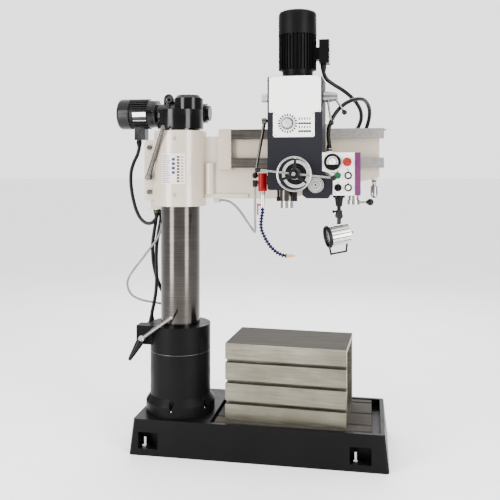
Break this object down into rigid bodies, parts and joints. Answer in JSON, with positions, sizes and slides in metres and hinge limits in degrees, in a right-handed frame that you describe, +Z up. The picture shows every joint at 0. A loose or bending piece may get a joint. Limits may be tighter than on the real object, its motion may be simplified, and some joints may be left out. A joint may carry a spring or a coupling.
{
  "type": "radial arm drill",
  "caption": "Floor-standing radial drill: cast base with slotted box table, swivelling column, lifting arm and a traversing drill head with feed levers, motor, work lamp and coolant hose.",
  "frame": {"origin": "on the floor, on the axis of the column", "axes": "+Z up along the column, +X along the arm and the base towards the drill head, -Y to the operator"},
  "size_m": [1.412, 0.762, 2.153],
  "materials": {
    "black_paint": "semi-gloss black enamel",
    "cream_paint": "semi-gloss cream enamel",
    "dark_grey_paint": "semi-gloss dark grey enamel",
    "ground_steel": "ground and lightly oiled",
    "polished_column": "ground and polished",
    "polished_steel": "turned and polished",
    "bronze": "turned bronze",
    "silver_paint": "satin silver paint",
    "white_paint": "satin white paint",
    "black_plastic": "moulded",
    "red_plastic": "moulded",
    "green_plastic": "moulded",
    "white_plastic": "moulded",
    "red_paint": "glossy red paint",
    "blue_plastic": "moulded links",
    "cable_rubber": "smooth sheath",
    "grey_hose": "smooth sheath"
  },
  "bodies": {
    "base": {"base_casting": "black_paint", "base_bolts": "polished_steel", "box_table": "ground_steel", "column_stand": "black_paint", "stand_bearings": "bronze"},
    "column": {"column_tube": "polished_column", "swivel_collar": "black_paint", "gear_housing": "black_paint", "gear_cover": "black_paint", "lift_motor": "black_paint", "lift_fan_cover": "black_paint", "lift_motor_cable": "cable_rubber", "column_cable_front": "cable_rubber", "column_cable_rear": "cable_rubber", "column_hose": "grey_hose"},
    "lift_drive": {"lift_screw": "polished_column", "worm_wheel": "bronze"},
    "swivel_clamp": {"swivel_clamp_lever": "polished_steel"},
    "arm": {"arm_casting": "cream_paint", "guide_rails": "ground_steel", "traverse_rack": "ground_steel", "lift_nut": "bronze", "arm_bolts": "polished_steel", "arm_junction_box": "dark_grey_paint", "spindle_motor_cable": "cable_rubber", "control_cable": "cable_rubber", "coolant_supply_hose": "grey_hose"},
    "arm_clamp": {"arm_clamp_lever": "polished_steel"},
    "grip": {"swing_grip": "polished_steel"},
    "head": {"head_casting": "dark_grey_paint", "head_saddle": "cream_paint", "spindle_motor": "black_paint", "motor_fan_cover": "black_paint", "spring_cover": "polished_steel", "control_box": "white_paint", "panel_meter": "black_plastic", "coolant_valve": "red_paint", "coolant_hose": "blue_plastic", "lamp_base": "black_plastic"},
    "rotor": {"motor_rotor": "ground_steel"},
    "drive": {"drive_gear": "ground_steel"},
    "quill_body": {"quill": "polished_column"},
    "spindle_body": {"spindle": "polished_column"},
    "feed": {"feed_pinion": "ground_steel", "feed_hub": "polished_steel"},
    "traverse": {"traverse_shaft": "ground_steel", "traverse_wheel": "polished_steel"},
    "dial": {"feed_dial": "polished_steel"},
    "stop_push": {"estop_button": "red_plastic"},
    "start_push": {"start_button": "green_plastic"},
    "upper_push": {"upper_button": "white_plastic"},
    "lower_push": {"lower_button": "white_plastic"},
    "selector": {"selector_switch": "black_plastic"},
    "speed_outer": {"speed_lever_outer": "polished_steel"},
    "speed_inner": {"speed_lever_inner": "polished_steel"},
    "head_lock": {"head_lock_lever": "polished_steel"},
    "head_clamp": {"head_clamp_lever": "polished_steel"},
    "valve": {"valve_handle": "red_paint"},
    "lamp_swivel": {"lamp_arm": "black_plastic"},
    "lamp": {"lamp_head": "silver_paint"}
  },
  "joints": [
    {"name": "column_swivel", "type": "hinge", "parent": "base", "child": "column", "pos_m": [0, 0, 0.5], "axis": [0, 0, 1], "range_deg": [-180, 180]},
    {"name": "arm_lift", "type": "slide", "parent": "column", "child": "arm", "axis": [0, 0, 1], "range_m": [-0.42, 0], "deforming": ["lift_motor_cable", "column_cable_front", "column_cable_rear", "column_hose"]},
    {"name": "lift_screw_turn", "type": "hinge", "parent": "column", "child": "lift_drive", "pos_m": [-0.03, 0.168, 1.2], "axis": [0, 0, 1], "continuous": true},
    {"name": "swivel_clamp_turn", "type": "hinge", "parent": "column", "child": "swivel_clamp", "pos_m": [-0.165, -0.1, 0.5553], "axis": [0, -1, 0], "range_deg": [-10, 25]},
    {"name": "arm_clamp_turn", "type": "hinge", "parent": "arm", "child": "arm_clamp", "pos_m": [-0.152, -0.06, 1.364], "axis": [0, -1, 0], "range_deg": [0, 60]},
    {"name": "grip_turn", "type": "hinge", "parent": "arm", "child": "grip", "pos_m": [0.984, 0.03, 1.3], "axis": [0, 0, 1], "continuous": true},
    {"name": "head_traverse", "type": "slide", "parent": "arm", "child": "head", "axis": [1, 0, 0], "range_m": [-0.19, 0.2], "deforming": ["spindle_motor_cable", "control_cable", "coolant_supply_hose"]},
    {"name": "traverse_turn", "type": "hinge", "parent": "head", "child": "traverse", "pos_m": [0.6355, -0.165, 1.38397], "axis": [0, -1, 0], "range_deg": [-485, 510]},
    {"name": "quill_feed", "type": "slide", "parent": "head", "child": "quill_body", "axis": [0, 0, -1], "range_m": [0, 0.17]},
    {"name": "feed_turn", "type": "hinge", "parent": "head", "child": "feed", "pos_m": [0.6355, -0.165, 1.38397], "axis": [0, -1, 0], "range_deg": [0, 342]},
    {"name": "spindle_spin", "type": "hinge", "parent": "quill_body", "child": "spindle_body", "pos_m": [0.574, -0.165, 1.38397], "axis": [0, 0, 1], "continuous": true},
    {"name": "drive_gear_spin", "type": "hinge", "parent": "head", "child": "drive", "pos_m": [0.574, -0.165, 1.68397], "axis": [0, 0, 1], "continuous": true},
    {"name": "rotor_spin", "type": "hinge", "parent": "head", "child": "rotor", "pos_m": [0.625, -0.165, 1.88397], "axis": [0, 0, 1], "continuous": true},
    {"name": "dial_turn", "type": "hinge", "parent": "head", "child": "dial", "pos_m": [0.594, -0.3, 1.61498], "axis": [0, -1, 0], "range_deg": [-150, 150]},
    {"name": "stop_press", "type": "slide", "parent": "head", "child": "stop_push", "axis": [0, 1, 0], "range_m": [0, 0.005], "stiffness_N_per_m": 400},
    {"name": "start_press", "type": "slide", "parent": "head", "child": "start_push", "axis": [0, 1, 0], "range_m": [0, 0.004], "stiffness_N_per_m": 400},
    {"name": "upper_press", "type": "slide", "parent": "head", "child": "upper_push", "axis": [0, 1, 0], "range_m": [0, 0.004], "stiffness_N_per_m": 400},
    {"name": "lower_press", "type": "slide", "parent": "head", "child": "lower_push", "axis": [0, 1, 0], "range_m": [0, 0.004], "stiffness_N_per_m": 400},
    {"name": "selector_turn", "type": "hinge", "parent": "head", "child": "selector", "pos_m": [0.823, -0.3, 1.32197], "axis": [0, -1, 0], "range_deg": [-45, 45]},
    {"name": "speed_outer_turn", "type": "hinge", "parent": "head", "child": "speed_outer", "pos_m": [0.8, -0.2, 1.74398], "axis": [-1, 0, 0], "range_deg": [0, 50]},
    {"name": "speed_inner_turn", "type": "hinge", "parent": "head", "child": "speed_inner", "pos_m": [0.768, -0.2, 1.74398], "axis": [-1, 0, 0], "range_deg": [0, 45]},
    {"name": "head_lock_turn", "type": "hinge", "parent": "head", "child": "head_lock", "pos_m": [0.47, -0.2, 1.63498], "axis": [-1, 0, 0], "range_deg": [-15, 20]},
    {"name": "head_clamp_turn", "type": "hinge", "parent": "head", "child": "head_clamp", "pos_m": [0.888, -0.12, 1.25998], "axis": [0, 0, 1], "range_deg": [-40, 40]},
    {"name": "valve_turn", "type": "hinge", "parent": "head", "child": "valve", "pos_m": [0.446, -0.23, 1.23697], "axis": [-1, 0, 0], "range_deg": [0, 90]},
    {"name": "lamp_swivel_turn", "type": "hinge", "parent": "head", "child": "lamp_swivel", "pos_m": [0.825, -0.25, 1.21398], "axis": [0, 0, 1], "range_deg": [-90, 90]},
    {"name": "lamp_tilt", "type": "hinge", "parent": "lamp_swivel", "child": "lamp", "pos_m": [0.825, -0.25, 1.19097], "axis": [-0.3584, 0.9336, 0], "range_deg": [-30, 35]}
  ],
  "couplings": [
    {"joint": "lift_screw_turn", "follows": "arm_lift", "rad_per_m": 523.6},
    {"joint": "traverse_turn", "follows": "head_traverse", "rad_per_m": 44.444},
    {"joint": "feed_turn", "follows": "quill_feed", "rad_per_m": 35.088},
    {"joint": "drive_gear_spin", "follows": "spindle_spin", "ratio": 1},
    {"joint": "rotor_spin", "follows": "spindle_spin", "ratio": -2}
  ]
}
